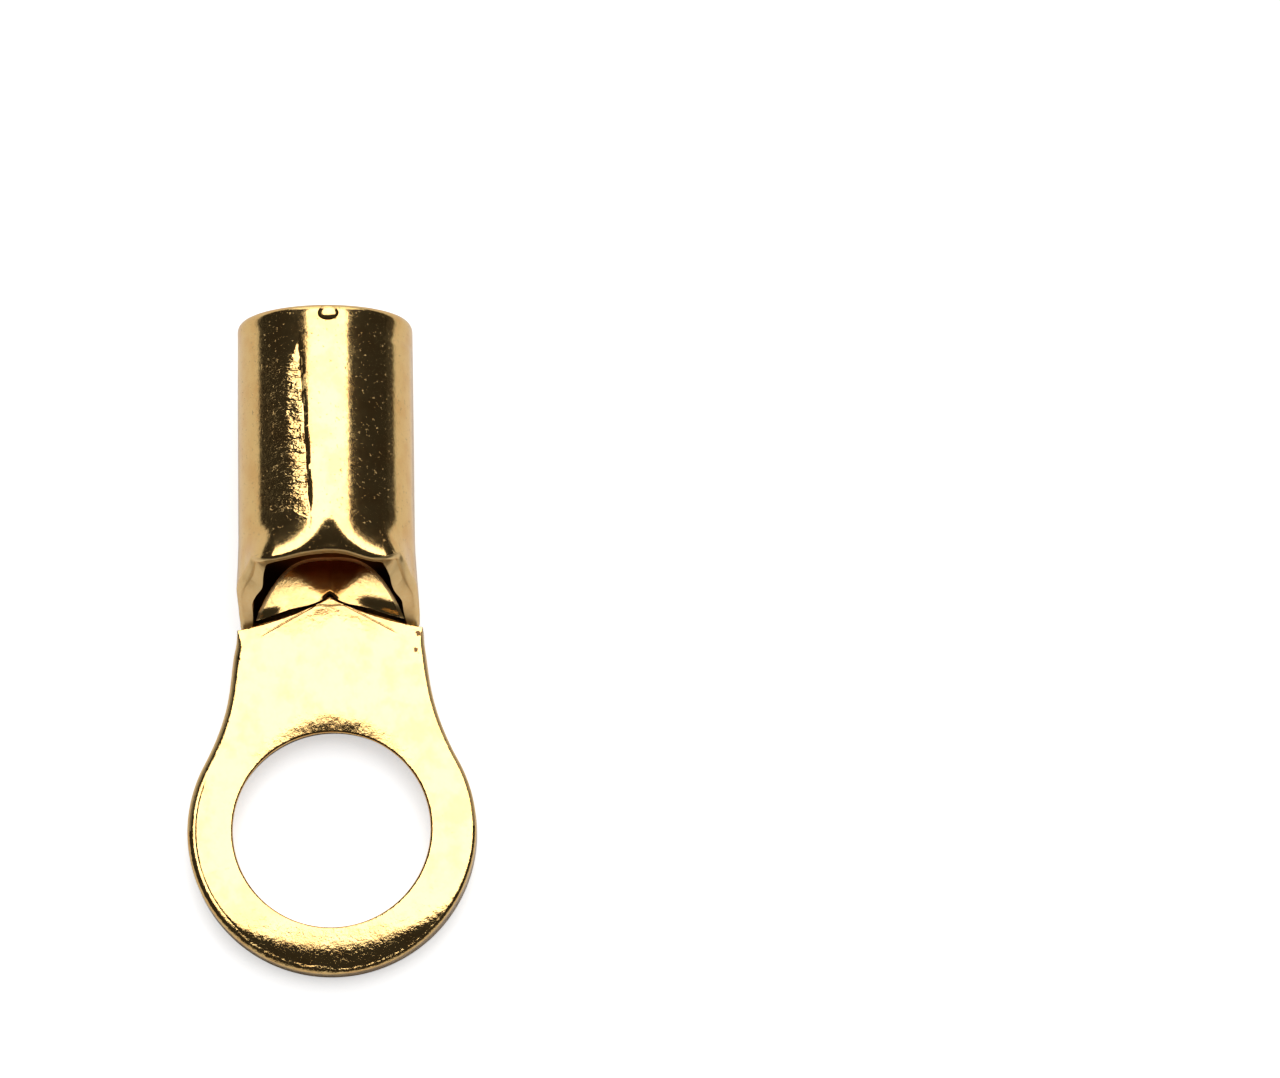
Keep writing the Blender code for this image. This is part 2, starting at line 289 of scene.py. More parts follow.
def tube_point(angle, y, inset):
    """Point of the tube's skin, moved in by the inset."""
    s = sizes()
    box = boxiness(y)
    corner = ease(1.0 - abs(sin(angle) - 0.45) / 1.1)
    side_wall = s.neck_side_wall + CORNER_WALL * corner
    inset = inset * (1.0 - (1.0 - side_wall / s.wall) * ease(1.6 * box))
    half_width = s.barrel_radius + (s.neck_half_width - s.barrel_radius) * box - inset
    axis = s.barrel_lift + s.barrel_radius
    drop = s.barrel_radius - inset
    c = cos(angle)
    t = sin(angle)
    if t < 0.0:
        power = 2.0 / (2.0 + 4.5 * box)
        x = half_width * abs(c) ** power * (1.0 if c > 0.0 else -1.0)
        return x, axis - drop * abs(t) ** power
    swell = front_swell(abs(degrees(atan2(c, t)) - MARK_ANGLE), y)
    swell += BELL_HEIGHT * ease((y - BELL_START) / BELL_LENGTH) * ease(2.0 * t)
    # the press has also thinned the front wall
    swell += 0.40 * inset * ease(1.6 * box) * ease(2.5 * t - 1.2)
    x = (half_width + swell) * c
    z = axis + (drop + swell) * t - press_depth(x, y) * ease(2.0 * t - 0.5)
    if inset == 0.0 and t > 0.5:
        z -= flattened(x, y)
    return x, z


def lip_line(x):
    """How far along the part the cut front edge is at this place across it."""
    s = sizes()
    recess = LIP_RECESS * exp(-(((x - MARK_X) / LIP_RECESS_HALF_WIDTH) ** 2))
    return s.lip + recess - LIP_FALL * ease((abs(x) / s.barrel_radius - 0.2) / 0.4)


def slot_line(z):
    """How far along the part the cut edge of a side wall is at this height."""
    rise = min(1.0, (z - SHOULDER_FOOT) / (LIP_FOOT - SHOULDER_FOOT))
    if rise <= 0.0:
        return NECK_START
    start = sizes().corner + 0.08 * MM
    climb = sizes().lip - start - SHOULDER_LEAN
    return start + SHOULDER_LEAN * rise + climb * rise ** 7


RIM_BEVEL = 0.26 * MM


def cut_edge(angle, inset):
    """How far along the part the tube starts at this angle round it."""
    y = sizes().lip
    turned = ease((abs(cos(angle)) - 0.60) / 0.30)
    for _ in range(20):
        x, z = tube_point(angle, y, inset)
        side = ease((abs(x) - 1.9 * MM) / (0.8 * MM))
        if sin(angle) < 0.0:
            side = 1.0
        lip = lip_line(x)
        target = lip + (min(slot_line(z), lip) - lip) * side
        if inset == 0.0:
            # the rim of each side wall is turned a little outwards
            target += RIM_BEVEL * turned * ease((z - 1.3 * MM) / (1.2 * MM))
        y = 0.5 * (y + target)
    return y


# rows of the barrel's skin: the outside from the cut rim on, the rounded wire end, the bore
AROUND = 240
RIM_ROWS = 8
OUTSIDE_ROWS = 130
WIRE_EDGE_ROWS = 8
BORE_EDGE_ROWS = 4
BORE_ROWS = 64
ROW_STEP = 0.1 * MM

FRONT_RIM_ROUND = 0.05 * MM
SIDE_RIM_ROUND = 0.34 * MM
WIRE_EDGE = 0.35 * MM
BORE_EDGE = 0.15 * MM


def outside_point(angle, row, start):
    """Point of the outer skin: first over the rounded rim of the cut, then along the barrel."""
    side = ease((abs(cos(angle)) - 0.50) / 0.35)
    rim = FRONT_RIM_ROUND + (SIDE_RIM_ROUND - FRONT_RIM_ROUND) * side
    if row < RIM_ROWS:
        turn = pi / 2.0 * row / RIM_ROWS
        y = start + rim * (1.0 - cos(turn))
        x, z = tube_point(angle, y, rim * (1.0 - sin(turn)))
        return x, y, z
    share = (row - RIM_ROWS) / (OUTSIDE_ROWS - RIM_ROWS - 1.0)
    start += rim
    y = start + (sizes().wire_end - WIRE_EDGE - start) * (0.75 * share + 0.25 * share ** 2)
    x, z = tube_point(angle, y, 0.0)
    return x, y, z


def wire_end_point(angle, row):
    """Point of the wire end: over the barrel's outer edge, then over the edge of the bore."""
    s = sizes()
    if row < WIRE_EDGE_ROWS:
        turn = pi / 2.0 * (row + 1) / WIRE_EDGE_ROWS
        y = s.wire_end - WIRE_EDGE * (1.0 - sin(turn))
        inset = WIRE_EDGE * (1.0 - cos(turn))
    else:
        turn = pi / 2.0 * (row - WIRE_EDGE_ROWS) / (BORE_EDGE_ROWS - 1.0)
        y = s.wire_end - BORE_EDGE * (1.0 - cos(turn))
        inset = s.wall - BORE_EDGE * (1.0 - sin(turn))
    x, z = tube_point(angle, y, inset)
    return x, y, z


def bore_point(angle, row, start):
    """Point of the bore's skin, back from the wire end to the cut edge."""
    s = sizes()
    y = s.wire_end - BORE_EDGE
    y += (start - y) * (row + 1.0) / BORE_ROWS
    x, z = tube_point(angle, y, s.wall)
    return x, y, z


def make_barrel():
    """A tube from one open cylinder, its rows laid outside, round the wire end and back inside."""
    s = sizes()
    first_bore_row = OUTSIDE_ROWS + WIRE_EDGE_ROWS + BORE_EDGE_ROWS
    rows = first_bore_row + BORE_ROWS
    bpy.ops.object.select_all(action="DESELECT")
    bpy.ops.mesh.primitive_cylinder_add(
        vertices=AROUND, radius=s.barrel_radius, depth=rows * ROW_STEP, end_fill_type="NOTHING")
    tube = fresh("barrel")
    bm = bmesh.new()
    bm.from_mesh(tube.data)
    upright = [e for e in bm.edges if abs(e.verts[0].co.z - e.verts[1].co.z) > 0.01 * MM]
    bmesh.ops.subdivide_edges(bm, edges=upright, cuts=rows - 2, use_grid_fill=True)
    bm.verts.index_update()
    angles = [(column + 0.5) * 2.0 * pi / AROUND for column in range(AROUND)]
    outer_starts = [cut_edge(angle, 0.0) for angle in angles]
    inner_starts = [cut_edge(angle, s.wall) for angle in angles]
    rim_points = set()
    for vert in bm.verts:
        column = int(round(atan2(vert.co.y, vert.co.x) * AROUND / (2.0 * pi))) % AROUND
        row = int(round((vert.co.z / (rows * ROW_STEP) + 0.5) * (rows - 1)))
        angle = angles[column]
        if row <= RIM_ROWS:
            rim_points.add(vert.index)
        if row < OUTSIDE_ROWS:
            x, y, z = outside_point(angle, row, outer_starts[column])
        elif row < first_bore_row:
            x, y, z = wire_end_point(angle, row - OUTSIDE_ROWS)
        else:
            x, y, z = bore_point(angle, row - first_bore_row, inner_starts[column])
        vert.co = (x, y + RING_CENTRE_Y, z)
    bm.to_mesh(tube.data)
    bm.free()
    bridge_open_rims(tube)
    return tube, rim_points


def dull_cut_edge(tube, rim_points, material):
    """The cut edge of the sheet and its rounded outer corner aren't polished."""
    tube.data.materials.append(material)
    cut_slot = len(tube.data.materials) - 1
    # the bridge over the cut added the last faces, one for each point round the tube
    first_cut_face = len(tube.data.polygons) - AROUND
    for face in tube.data.polygons:
        if face.index >= first_cut_face or rim_points.issuperset(face.vertices):
            face.material_index = cut_slot


def line_bore(tube, material):
    """Gives the inside of the tube its own plating: duller, and painted dark brown as shade."""
    tube.data.materials.append(material)
    bore_slot = len(tube.data.materials) - 1
    axis = sizes().barrel_lift + sizes().barrel_radius
    for face in tube.data.polygons:
        middle = face.center
        outward = face.normal.x * middle.x + face.normal.z * (middle.z - axis)
        if outward < -0.8 * MM:
            face.material_index = bore_slot


# shape of the tongue and ring

HOLE_FLARE = 0.22 * MM
HOLE_EDGE = 0.11 * MM
CRISP_EDGE = 0.06 * MM
LEFT_EDGE = 0.32 * MM
RIGHT_EDGE = 0.22 * MM
UNDER_EDGE = 0.18 * MM
LEFT_FLANK_SWELL = 0.13 * MM
RIGHT_FLANK_SWELL = 0.06 * MM
PEAK_RISE = 0.016 * MM
LEFT_STEP_DEPTH = 0.018 * MM
LEFT_STEP_INSET = 0.34 * MM


def peak_line(x):
    """How far along the part the tongue's peaked edge is at this place across it."""
    s = sizes()
    u = 1.0 - min(1.0, abs(x) / s.tongue_half_width)
    return s.corner + (s.peak - s.corner) * (0.7 * u + 0.3 * u ** 3)


def fuller(x, y):
    """The flanks stand a little proud of a plain arc, the left one more than the right."""
    s = sizes()
    if y < 1.0 * MM or y > s.corner or abs(x) < s.tongue_half_width * 0.99:
        return x, y
    swell = exp(-(((y - 7.2 * MM) / (1.5 * MM)) ** 2)) * ease((s.corner - y) / (1.2 * MM))
    if x > 0.0:
        return x + RIGHT_FLANK_SWELL * swell, y
    return x - LEFT_FLANK_SWELL * swell, y


def tongue_outline():
    """Points round the tongue and ring, evenly spaced, with both corners among them."""
    s = sizes()
    side = s.tongue_half_width
    rest = side ** 2 + s.corner ** 2 - s.ring_radius ** 2
    flank_radius = rest / (2.0 * (s.ring_radius - side))
    arc_x = side + flank_radius
    share = s.ring_radius / (s.ring_radius + flank_radius)
    join_y = s.corner * share
    end_angle = atan2(join_y, arc_x * share)
    # three runs for the right half: ring, hollow flank, peaked edge
    ring_count, flank_count, peak_count = 102, 34, 32
    points = []
    for k in range(ring_count):
        angle = -pi / 2.0 + (end_angle + pi / 2.0) * k / ring_count
        points.append((s.ring_radius * cos(angle), s.ring_radius * sin(angle)))
    for k in range(flank_count):
        y = join_y + (s.corner - join_y) * k / flank_count
        points.append((arc_x - sqrt(flank_radius ** 2 - (s.corner - y) ** 2), y))
    for k in range(peak_count + 1):
        x = side * (1.0 - k / peak_count)
        points.append((x, peak_line(x)))
    left = [(-x, y) for x, y in reversed(points[1:-1])]
    return [fuller(x, y) for x, y in points + left]


def inward(outline):
    """Directions that point into the tongue, one for each point of its outline."""
    normals = []
    count = len(outline)
    for i in range(count):
        x0, y0 = outline[i - 1]
        x1, y1 = outline[(i + 1) % count]
        size = sqrt((x1 - x0) ** 2 + (y1 - y0) ** 2)
        normals.append((-(y1 - y0) / size, (x1 - x0) / size))
    return normals


def face_drop(x, y):
    """How far the tongue's face lies below its highest level at this place."""
    s = sizes()
    from_middle = sqrt(x * x + y * y)
    drop = 0.0
    foot_start = 0.54 if x < 0.0 else 0.50
    foot = ease((-y / s.ring_radius - foot_start) / 0.42)
    width = s.foot_roll_width * (0.30 + 0.70 * foot)
    from_edge = s.ring_radius - from_middle
    if y < 3.0 * MM and from_edge < width:
        share = 1.0 - ease((y - 1.0 * MM) / (2.0 * MM))
        fall = s.foot_roll_drop * (0.05 + 0.95 * foot)
        drop += share * fall * (1.0 - from_edge / width) ** 2
    if y > s.corner - 1.0 * MM:
        # the peaked edge stands up a little
        from_peak = (peak_line(x) - y) * 0.94
        drop -= PEAK_RISE * (1.0 - ease(from_peak / (0.30 * MM)))
    if x < 0.0 and y < 3.0 * MM:
        # a fine step along the left edge of the ring
        fade = ease((3.0 * MM - y) / (1.5 * MM)) * ease((y + 5.6 * MM) / (1.5 * MM))
        from_step = (from_edge - LEFT_STEP_INSET) / (0.06 * MM)
        drop += LEFT_STEP_DEPTH * fade * exp(-(from_step ** 2))
    from_hole = from_middle - s.hole_radius
    upper = max(0.0, y / from_middle)
    width = (0.40 + 0.70 * upper) * MM
    if from_hole < width:
        drop += (0.02 + 0.125 * upper ** 3) * MM * (1.0 - from_hole / width) ** 2
    return drop


UNDER_ROWS = 3
EDGE_ROWS = 7
FACE_ROWS = 46
HOLE_ROWS = 5


def tongue_column(point, normal):
    """The skin's points at one place of the outline: underside, outer edge, face, hole."""
    s = sizes()
    x, y = point
    nx, ny = normal
    # the corners and the peaked edge are crisp, the flanks and the ring are rounded
    full_edge = LEFT_EDGE if x < 0.0 else RIGHT_EDGE
    round_edge = CRISP_EDGE + (full_edge - CRISP_EDGE) * ease((s.corner - y) / (0.8 * MM))
    under_edge = min(UNDER_EDGE, round_edge)
    reach = sqrt(x * x + y * y)
    under = s.hole_radius + HOLE_FLARE
    column = [(x / reach * under, y / reach * under, 0.0)]
    for k in range(UNDER_ROWS):
        turn = pi / 2.0 * (1.0 - k / (UNDER_ROWS - 1.0))
        inset = under_edge * (1.0 - cos(turn))
        column.append((x + nx * inset, y + ny * inset, under_edge * (1.0 - sin(turn))))
    ax = x + nx * round_edge
    ay = y + ny * round_edge
    level = s.tongue_thickness - face_drop(ax, ay)
    for k in range(EDGE_ROWS):
        turn = pi / 2.0 * k / EDGE_ROWS
        inset = round_edge * (1.0 - cos(turn))
        column.append((x + nx * inset, y + ny * inset, level - round_edge * (1.0 - sin(turn))))
    # the face, its rows closest by the outer edge
    hx = x / reach * (s.hole_radius + HOLE_EDGE)
    hy = y / reach * (s.hole_radius + HOLE_EDGE)
    for k in range(FACE_ROWS + 1):
        share = (k / FACE_ROWS) ** 1.35
        px = ax + (hx - ax) * share
        py = ay + (hy - ay) * share
        column.append((px, py, s.tongue_thickness - face_drop(px, py)))
    rim = column[-1][2]
    for k in range(1, HOLE_ROWS + 1):
        turn = pi / 2.0 * k / HOLE_ROWS
        r = s.hole_radius + HOLE_EDGE * (1.0 - sin(turn))
        column.append((x / reach * r, y / reach * r, rim - HOLE_EDGE * (1.0 - cos(turn))))
    return column


def make_tongue():
    """A circle extruded row by row, its rows laid round the tongue's skin and closed in the hole."""
    outline = tongue_outline()
    columns = [tongue_column(point, normal) for point, normal in zip(outline, inward(outline))]
    count = len(columns)
    bpy.ops.object.select_all(action="DESELECT")
    bpy.ops.mesh.primitive_circle_add(
        vertices=count, radius=sizes().ring_radius, fill_type="NOTHING")
    tongue = fresh("tongue")
    bpy.ops.object.mode_set(mode="EDIT")
    bpy.ops.mesh.select_mode(type="EDGE")
    bpy.ops.mesh.select_all(action="SELECT")
    for _ in range(len(columns[0]) - 1):
        bpy.ops.mesh.extrude_edges_move(TRANSFORM_OT_translate={"value": (0.0, 0.0, ROW_STEP)})
    bpy.ops.object.mode_set(mode="OBJECT")
    for vertex in tongue.data.vertices:
        column = int(round(atan2(vertex.co.y, vertex.co.x) * count / (2.0 * pi))) % count
        row = int(round(vertex.co.z / ROW_STEP))
        x, y, z = columns[column][row]
        vertex.co = (x, y + RING_CENTRE_Y, z)
    tongue.data.update()
    bridge_open_rims(tongue)
    return tongue


def shade_and_dull_tongue_edges(tongue):
    """The upright peaked edge is painted dark as shade, and the flanks' rounded edges are rubbed
    dull.
    """
    s = sizes()
    # painted shade: the upright peaked edge takes the near-black crevice colour
    tongue.data.materials.append(crevice_shade_gold())
    tongue.data.materials.append(cut_gold())
    shade_slot, dull_slot = 1, 2
    for face in tongue.data.polygons:
        along = face.center.y - RING_CENTRE_Y
        reach = sqrt(face.center.x ** 2 + along ** 2)
        if along > s.corner - 0.02 * MM:
            if face.normal.z < 0.5:
                face.material_index = shade_slot
        elif 0.0 < along and reach > s.hole_radius * 1.2 and 0.2 < face.normal.z < 0.93:
            face.material_index = dull_slot


# shape of the spoon

SPOON_END = 11.80 * MM
SPOON_HALF_WIDTH = 3.22 * MM
SPOON_BED = 0.40 * MM
SPOON_COLUMNS = 97
SPOON_ROWS = 61
SPOON_GAP = 0.05 * MM
SPOON_SIDE_GAP = 0.19 * MM
LOBE_LENGTH = 1.75 * MM
LOBE_SLOPE = 0.114
LOBE_BLEND = 0.09 * MM
VALLEY_HALF_WIDTH = 0.12 * MM
VALLEY_SPREAD = 0.93
CORNER_DROP = 0.30 * MM
RIM_ROLL_WIDTH = 0.12 * MM
RIM_ROLL_DROP = 0.014 * MM
RUBBED_RIM = 0.14 * MM
PIT_DEPTH = 0.22 * MM


def spoon_back(x):
    """How far along the part the spoon's arched rim is at this place across it."""
    u = min(1.0, abs(x) / SPOON_HALF_WIDTH)
    foot = peak_line(SPOON_HALF_WIDTH) + 0.14 * MM
    return foot + (SPOON_END - foot) * (1.0 - u ** 2.9)


def spoon_front(x):
    """How far along the part the spoon starts, behind a gap that widens to both sides."""
    return peak_line(x) + SPOON_GAP + SPOON_SIDE_GAP * ease((abs(x) - 0.5 * MM) / (1.3 * MM))


def square_to_rim(x):
    """What turns a distance along the part, from the arched rim, into one square to the rim."""
    step = 0.01 * MM
    slope = (spoon_back(abs(x) + step) - spoon_back(x)) / step
    return 1.0 / sqrt(1.0 + slope * slope)


def spoon_height(x, y, from_rim):
    """Two lobes that lean toward the tongue, a level valley between them, rolled rims."""
    gap = max(0.0, y - spoon_front(x))
    # the lobes lean steadily, and the valley between them keeps its depth
    valley = max(0.0, abs(x) - VALLEY_HALF_WIDTH) / VALLEY_SPREAD
    risen = -LOBE_BLEND * log(
        exp(-gap / LOBE_BLEND) + exp(-valley / LOBE_BLEND) + exp(-LOBE_LENGTH / LOBE_BLEND))
    fall = LOBE_SLOPE * (LOBE_LENGTH - risen)
    if x > 0.0:
        corner = 0.9 * ease((x - 1.0 * MM) / (1.5 * MM))
        spread = 0.27 * MM
    else:
        corner = 0.6 * ease((-x - 2.0 * MM) / (0.9 * MM))
        spread = 0.18 * MM
    fall += CORNER_DROP * corner * exp(-((gap / spread) ** 2))
    fall += RIM_ROLL_DROP * max(0.0, 1.0 - from_rim / RIM_ROLL_WIDTH) ** 2
    pit = exp(-((x / (0.17 * MM)) ** 2) - ((gap / (0.10 * MM)) ** 2))
    return sizes().spoon_top - fall - PIT_DEPTH * pit


def make_spoon():
    """A grid laid out to the spoon's face, its sides extruded down to the bed."""
    bpy.ops.object.select_all(action="DESELECT")
    bpy.ops.mesh.primitive_grid_add(
        x_subdivisions=SPOON_COLUMNS - 1, y_subdivisions=SPOON_ROWS - 1, size=2.0)
    spoon = fresh("spoon")
    for vertex in spoon.data.vertices:
        x = SPOON_HALF_WIDTH * 0.985 * sin(pi / 2.0 * vertex.co.x)
        back = spoon_back(x)
        share = (1.0 - vertex.co.y) / 2.0
        along = (back - spoon_front(x)) * share ** 1.6
        y = back - along
        vertex.co = (x, y + RING_CENTRE_Y, spoon_height(x, y, along * square_to_rim(x)))
    spoon.data.update()
    select_only(spoon)
    bpy.ops.object.mode_set(mode="EDIT")
    bpy.ops.mesh.select_all(action="SELECT")
    bpy.ops.mesh.extrude_region_move(TRANSFORM_OT_translate={"value": (0.0, 0.0, -1.0 * MM)})
    bpy.ops.transform.resize(value=(1.0, 1.0, 0.0), center_override=(0.0, 0.0, SPOON_BED))
    bpy.ops.object.mode_set(mode="OBJECT")
    return spoon


def darken_crevices(spoon):
    """The spoon's upright walls lie in the crevice round it and are painted dark as shade, its rim
    is rubbed.
    """
    # painted shade: the upright walls in the crevice take the near-black crevice colour
    spoon.data.materials.append(crevice_shade_gold())
    spoon.data.materials.append(cut_gold())
    shade_slot, dull_slot = 1, 2
    for face in spoon.data.polygons:
        x = face.center.x
        from_rim = (spoon_back(x) - face.center.y + RING_CENTRE_Y) * square_to_rim(x)
        if face.normal.z < 0.35:
            face.material_index = shade_slot
        elif from_rim < RUBBED_RIM:
            face.material_index = dull_slot


# bead on the seam: half width, half length and height of a ball with a radius of 1 mm

BEAD_SHAPE = (0.47, 0.32, 0.145)
BEAD_X = 0.30 * MM
BEAD_FROM_END = 0.42 * MM
BEAD_SINK = 0.02 * MM


def make_bead():
    """A ball squashed flat, sunk a little into the barrel at its wire end."""
    s = sizes()
    top = s.barrel_lift + 2.0 * s.barrel_radius
    middle = (BEAD_X, RING_CENTRE_Y + s.wire_end - BEAD_FROM_END, top - BEAD_SINK)
    bpy.ops.object.select_all(action="DESELECT")
    bpy.ops.mesh.primitive_uv_sphere_add(
        segments=40, ring_count=20, radius=1.0 * MM, location=middle)
    bead = fresh("seam_bead")
    bpy.ops.object.mode_set(mode="EDIT")
    bpy.ops.mesh.select_all(action="SELECT")
    bpy.ops.transform.resize(value=BEAD_SHAPE, center_override=middle)
    bpy.ops.object.mode_set(mode="OBJECT")
    bpy.ops.object.transform_apply(location=True, rotation=True, scale=True)
    return bead


# gold finishes

# sockets of a colour mix
MIX_FACTOR, MIX_FIRST, MIX_SECOND, MIX_RESULT = 0, 6, 7, 2

# across, along and radius of the dents by the tongue's corners, in millimetres
CORNER_DENTS = ((-3.88, 7.45, 0.10), (3.66, 7.68, 0.13), (3.78, 8.40, 0.09))

# painted shade inside the corner dents, which have no depth of their own
DENT_SHADE = (0.10, 0.05, 0.02, 1.0)
# painted shade for the middle of the spoon under the barrel's lip
UNDER_LIP_SHADE = (0.66, 0.30, 0.07, 1.0)


class Nodes:
    """Short way to add and link the nodes of one material."""

    def __init__(self, name):
        self.material = bpy.data.materials.new(name)
        self.material.use_nodes = True
        self.tree = self.material.node_tree
        self.shader = self.tree.nodes["Principled BSDF"]

    def add(self, kind, **settings):
        node = self.tree.nodes.new(kind)
        for key, value in settings.items():
            setattr(node, key, value)
        return node

    def link(self, output, target):
        self.tree.links.new(output, target)

    def math(self, operation, a, b=None, c=None):
        node = self.add("ShaderNodeMath", operation=operation)
        for socket, value in zip(node.inputs, (a, b, c)):
            if value is None:
                continue
            if isinstance(value, (int, float)):
                socket.default_value = value
            else:
                self.link(value, socket)
        return node.outputs[0]

    def ramp(self, value, low, high, to_low=0.0, to_high=1.0):
        node = self.add("ShaderNodeMapRange", interpolation_type="SMOOTHSTEP")
        self.link(value, node.inputs["Value"])
        node.inputs["From Min"].default_value = low
        node.inputs["From Max"].default_value = high
        node.inputs["To Min"].default_value = to_low
        node.inputs["To Max"].default_value = to_high
        return node.outputs["Result"]

    def noise(self, vector, scale, detail=2.0, rough=0.5):
        node = self.add("ShaderNodeTexNoise")
        self.link(vector, node.inputs["Vector"])
        node.inputs["Scale"].default_value = scale
        node.inputs["Detail"].default_value = detail
        node.inputs["Roughness"].default_value = rough
        return node.outputs["Fac"]

    def millimetres(self, stretch=(1.0, 1.0, 1.0)):
        """Object coordinates in millimetres, measured from the middle of the ring."""
        coordinates = self.add("ShaderNodeTexCoord")
        mapping = self.add("ShaderNodeMapping")
        self.link(coordinates.outputs["Object"], mapping.inputs["Vector"])
        mapping.inputs["Scale"].default_value = [1000.0 * value for value in stretch]
        mapping.inputs["Location"].default_value = (0.0, -1000.0 * RING_CENTRE_Y * stretch[1], 0.0)
        return mapping.outputs["Vector"]

    def bump(self, height, distance, under=None):
        node = self.add("ShaderNodeBump")
        node.inputs["Strength"].default_value = 1.0
        node.inputs["Distance"].default_value = distance
        self.link(height, node.inputs["Height"])
        if under is not None:
            self.link(under, node.inputs["Normal"])
        return node.outputs["Normal"]

    def mix_colour(self, factor, first, second):
        node = self.add("ShaderNodeMix", data_type="RGBA")
        self.link(factor, node.inputs[MIX_FACTOR])
        node.inputs[MIX_FIRST].default_value = first
        node.inputs[MIX_SECOND].default_value = second
        return node.outputs[MIX_RESULT]

    def split(self, vector):
        node = self.add("ShaderNodeSeparateXYZ")
        self.link(vector, node.inputs["Vector"])
        return node.outputs

    def feeding(self, name):
        """The output that feeds this input of the shader so far."""
        return self.shader.inputs[name].links[0].from_socket

    def tint(self, mask, colour):
        """Turns the plating's colour to this one where the mask is 1."""
        node = self.add("ShaderNodeMix", data_type="RGBA")
        self.link(mask, node.inputs[MIX_FACTOR])
        self.link(self.feeding("Base Color"), node.inputs[MIX_FIRST])
        node.inputs[MIX_SECOND].default_value = colour
        self.link(node.outputs[MIX_RESULT], self.shader.inputs["Base Color"])


def gold_base(name):
    """Polished plating with a fine grain: the nodes, its coordinates and the grain's normal."""
    finish = bpy.context.scene.terminal_finish
    nodes = Nodes(name)
    shader = nodes.shader
    shader.inputs["Metallic"].default_value = 1.0
    mm = nodes.millimetres()
    cloud = nodes.noise(mm, 0.9, 3.0, 0.6)
    tone = nodes.ramp(cloud, 0.40, 0.68)
    nodes.link(nodes.mix_colour(tone, finish.gold, finish.gold_deep), shader.inputs["Base Color"])
    fine = nodes.noise(mm, 6.0, 3.0, 0.6)
    rough = nodes.ramp(fine, 0.3, 0.75, finish.roughness * 0.8, finish.roughness * 1.4)
    nodes.link(rough, shader.inputs["Roughness"])
    normal = nodes.bump(fine, finish.grain_depth * 2.0)
    return nodes, mm, normal


def tongue_gold():
    """Bright plating with a soft mottle, coarser in the grain at the foot."""
    finish = bpy.context.scene.terminal_finish
    nodes, mm, normal = gold_base("gold_tongue")
    x, y, _ = nodes.split(mm)
    waves = nodes.noise(mm, 0.7, 3.0, 0.6)
    normal = nodes.bump(waves, 0.05 * MM, normal)
    grain = nodes.noise(mm, 5.5, 3.0, 0.65)
    foot = nodes.ramp(y, -3.0, -5.0, 0.25, 1.0)
    normal = nodes.bump(nodes.math("MULTIPLY", grain, foot), finish.grain_depth * 21.0, normal)
    pits = nodes.noise(mm, 3.2, 4.0, 0.7)
    normal = nodes.bump(nodes.ramp(pits, 0.62, 0.80), 0.0025 * MM, normal)
    # a thin line across the foot of the peak that runs down to both sides
    side = nodes.math("ABSOLUTE", x)
    past_peak = nodes.math("MAXIMUM", nodes.math("SUBTRACT", side, 0.6), 0.0)
    level = nodes.math("MULTIPLY_ADD", past_peak, 0.55, y)
    away = nodes.math("ABSOLUTE", nodes.math("SUBTRACT", level, 9.72))
    line = nodes.ramp(away, 0.0, 0.06, -1.0, 0.0)
    line = nodes.math("MULTIPLY", line, nodes.ramp(side, 3.3, 2.5))
    normal = nodes.bump(line, 0.007 * MM, normal)
    # three small dents by the corners, painted dark inside as shade
    deepest = None
    for place_x, place_y, radius in CORNER_DENTS:
        across = nodes.math("ABSOLUTE", nodes.math("SUBTRACT", x, place_x))
        along = nodes.math("ABSOLUTE", nodes.math("SUBTRACT", y, place_y))
        wobble = nodes.math("MULTIPLY_ADD", nodes.noise(mm, 6.0, 3.0), 0.40, -0.20)
        away = nodes.math("ADD", nodes.math("MAXIMUM", across, along), wobble)
        dent = nodes.ramp(away, radius, radius * 0.4)
        deepest = dent if deepest is None else nodes.math("MAXIMUM", deepest, dent)
    nodes.tint(deepest, DENT_SHADE)
    nodes.link(normal, nodes.shader.inputs["Normal"])
    return nodes.material


def spoon_gold():
    """The pressed spoon is frosted, and brown in the middle: painted shade under the barrel's lip.
    """
    nodes, mm, normal = gold_base("gold_spoon")
    x, y, _ = nodes.split(mm)
    # painted shade: brown in the middle toward the barrel, fading out to the sides and toward the
    # tongue
    wide = nodes.math("MULTIPLY_ADD", y, -0.85, 8.40)
    from_middle = nodes.math("ADD", nodes.math("ABSOLUTE", x), wide)
    cloud = nodes.math("MULTIPLY_ADD", nodes.noise(mm, 3.0, 4.0, 0.6), 0.50, -0.25)
    worn = nodes.ramp(nodes.math("ADD", from_middle, cloud), 0.45, -0.15)
    nodes.tint(worn, UNDER_LIP_SHADE)
    frost = nodes.noise(mm, 7.0, 2.0, 0.5)
    normal = nodes.bump(frost, 0.005 * MM, normal)
    nodes.link(normal, nodes.shader.inputs["Normal"])
    fine = nodes.noise(mm, 5.0, 3.0, 0.6)
    nodes.link(nodes.ramp(fine, 0.3, 0.7, 0.15, 0.21), nodes.shader.inputs["Roughness"])
    return nodes.material


